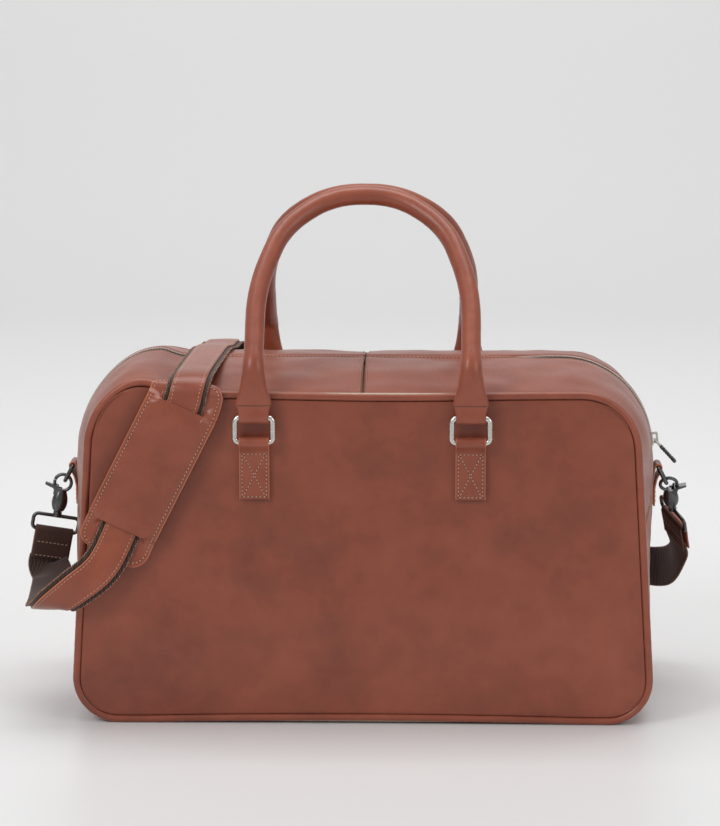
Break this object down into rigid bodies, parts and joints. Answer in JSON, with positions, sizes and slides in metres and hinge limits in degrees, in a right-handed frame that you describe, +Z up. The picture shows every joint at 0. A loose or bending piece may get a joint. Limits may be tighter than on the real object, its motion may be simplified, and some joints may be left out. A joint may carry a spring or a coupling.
{
  "type": "weekender bag",
  "caption": "Soft leather weekender bag with bulging ends, top zip, rolled handles on rings, and a clip-on shoulder strap with a pad.",
  "frame": {"origin": "on the ground plane, under the middle of the flat bottom panel", "axes": "+Z up, +X towards the bag's right end with the zip slider, -Y towards the front panel with the shoulder pad"},
  "size_m": [0.6238, 0.3172, 0.48],
  "materials": {
    "bag_leather": "smooth waxed pull-up leather, cognac brown, soft sheen",
    "strap_leather": "smooth waxed leather with edge stitching",
    "webbing": "dark brown woven webbing with a looped edge",
    "ring_steel": "bright nickel plated wire",
    "gunmetal": "dark gunmetal plating",
    "zip_metal": "antique nickel",
    "zip_tape": "dark brown woven tape",
    "lining_cloth": "plain cotton twill",
    "board": "stiffening board",
    "filler_cord": "twisted cotton cord"
  },
  "bodies": {
    "bag": {"back_panel": "bag_leather", "base_board": "board", "bottom_panel": "bag_leather", "chape_back_left": "bag_leather", "chape_back_right": "bag_leather", "chape_front_left": "bag_leather", "chape_front_right": "bag_leather", "end_gusset_left": "bag_leather", "end_gusset_right": "bag_leather", "front_panel": "bag_leather", "lining": "lining_cloth", "piping_back": "bag_leather", "piping_core_back": "filler_cord", "piping_core_front": "filler_cord", "piping_front": "bag_leather", "shoulder_pad": "strap_leather", "strap_leather": "strap_leather", "strap_webbing": "webbing", "strap_wrap_left": "strap_leather", "strap_wrap_right": "strap_leather", "swivel_loop_left": "gunmetal", "swivel_loop_right": "gunmetal", "tab_left": "bag_leather", "tab_right": "bag_leather", "top_gusset_back_left": "bag_leather", "top_gusset_back_right": "bag_leather", "top_gusset_front_left": "bag_leather", "top_gusset_front_right": "bag_leather", "zip_stop_left": "zip_metal", "zip_stop_right": "zip_metal", "zip_tape_back": "zip_tape", "zip_tape_front": "zip_tape", "zip_teeth": "zip_metal"},
    "rings_front": {"ring_front_left": "ring_steel", "ring_front_right": "ring_steel"},
    "handle_front": {"handle_front_grip": "bag_leather", "handle_front_core": "filler_cord", "handle_front_end_left": "bag_leather", "handle_front_end_right": "bag_leather"},
    "rings_back": {"ring_back_left": "ring_steel", "ring_back_right": "ring_steel"},
    "handle_back": {"handle_back_grip": "bag_leather", "handle_back_core": "filler_cord", "handle_back_end_left": "bag_leather", "handle_back_end_right": "bag_leather"},
    "zip_slider": {"zip_slider": "zip_metal"},
    "zip_pull": {"zip_pull": "bag_leather", "zip_pull_link": "zip_metal"},
    "d_ring_left": {"d_ring_left": "gunmetal"},
    "hook_left": {"hook_body_left": "gunmetal", "hook_pin_left": "gunmetal"},
    "trigger_left": {"hook_trigger_left": "gunmetal"},
    "d_ring_right": {"d_ring_right": "gunmetal"},
    "hook_right": {"hook_body_right": "gunmetal", "hook_pin_right": "gunmetal"},
    "trigger_right": {"hook_trigger_right": "gunmetal"}
  },
  "joints": [
    {"name": "rings_front_swing", "type": "hinge", "parent": "bag", "child": "rings_front", "pos_m": [0, -0.133, 0.262], "axis": [1, 0, 0], "range_deg": [0, 120]},
    {"name": "handle_front_swing", "type": "hinge", "parent": "rings_front", "child": "handle_front", "pos_m": [0, -0.133, 0.284], "axis": [1, 0, 0], "range_deg": [0, 50]},
    {"name": "rings_back_swing", "type": "hinge", "parent": "bag", "child": "rings_back", "pos_m": [0, 0.133, 0.262], "axis": [-1, 0, 0], "range_deg": [0, 120]},
    {"name": "handle_back_swing", "type": "hinge", "parent": "rings_back", "child": "handle_back", "pos_m": [0, 0.133, 0.284], "axis": [-1, 0, 0], "range_deg": [0, 50]},
    {"name": "zip_slider_travel", "type": "hinge", "parent": "bag", "child": "zip_slider", "pos_m": [0.182, 0, 0.235], "axis": [0, -1, 0], "range_deg": [0, 78]},
    {"name": "zip_pull_swing", "type": "hinge", "parent": "zip_slider", "child": "zip_pull", "pos_m": [0.26983, 0, 0.24222], "axis": [0, -1, 0], "range_deg": [0, 70]},
    {"name": "d_ring_left_swing", "type": "hinge", "parent": "bag", "child": "d_ring_left", "pos_m": [-0.2732, 0, 0.217], "axis": [0, 1, 0], "range_deg": [0, 5]},
    {"name": "hook_left_swivel", "type": "hinge", "parent": "bag", "child": "hook_left", "pos_m": [-0.28403, 0, 0.1987], "axis": [0.19, 0, 0.9818], "range_deg": [-12, 12]},
    {"name": "trigger_left_press", "type": "hinge", "parent": "hook_left", "child": "trigger_left", "pos_m": [-0.29048, 0, 0.19434], "axis": [0, 1, 0], "range_deg": [0, 18], "stiffness_Nm_per_rad": 0.02},
    {"name": "d_ring_right_swing", "type": "hinge", "parent": "bag", "child": "d_ring_right", "pos_m": [0.2732, 0, 0.217], "axis": [0, -1, 0], "range_deg": [0, 5]},
    {"name": "hook_right_swivel", "type": "hinge", "parent": "bag", "child": "hook_right", "pos_m": [0.28387, 0.00131, 0.19951], "axis": [-0.16, -0.5499, 0.8198], "range_deg": [-12, 12]},
    {"name": "trigger_right_press", "type": "hinge", "parent": "hook_right", "child": "trigger_right", "pos_m": [0.29018, 0.00384, 0.19573], "axis": [0, -0.8305, -0.557], "range_deg": [0, 18], "stiffness_Nm_per_rad": 0.02}
  ]
}
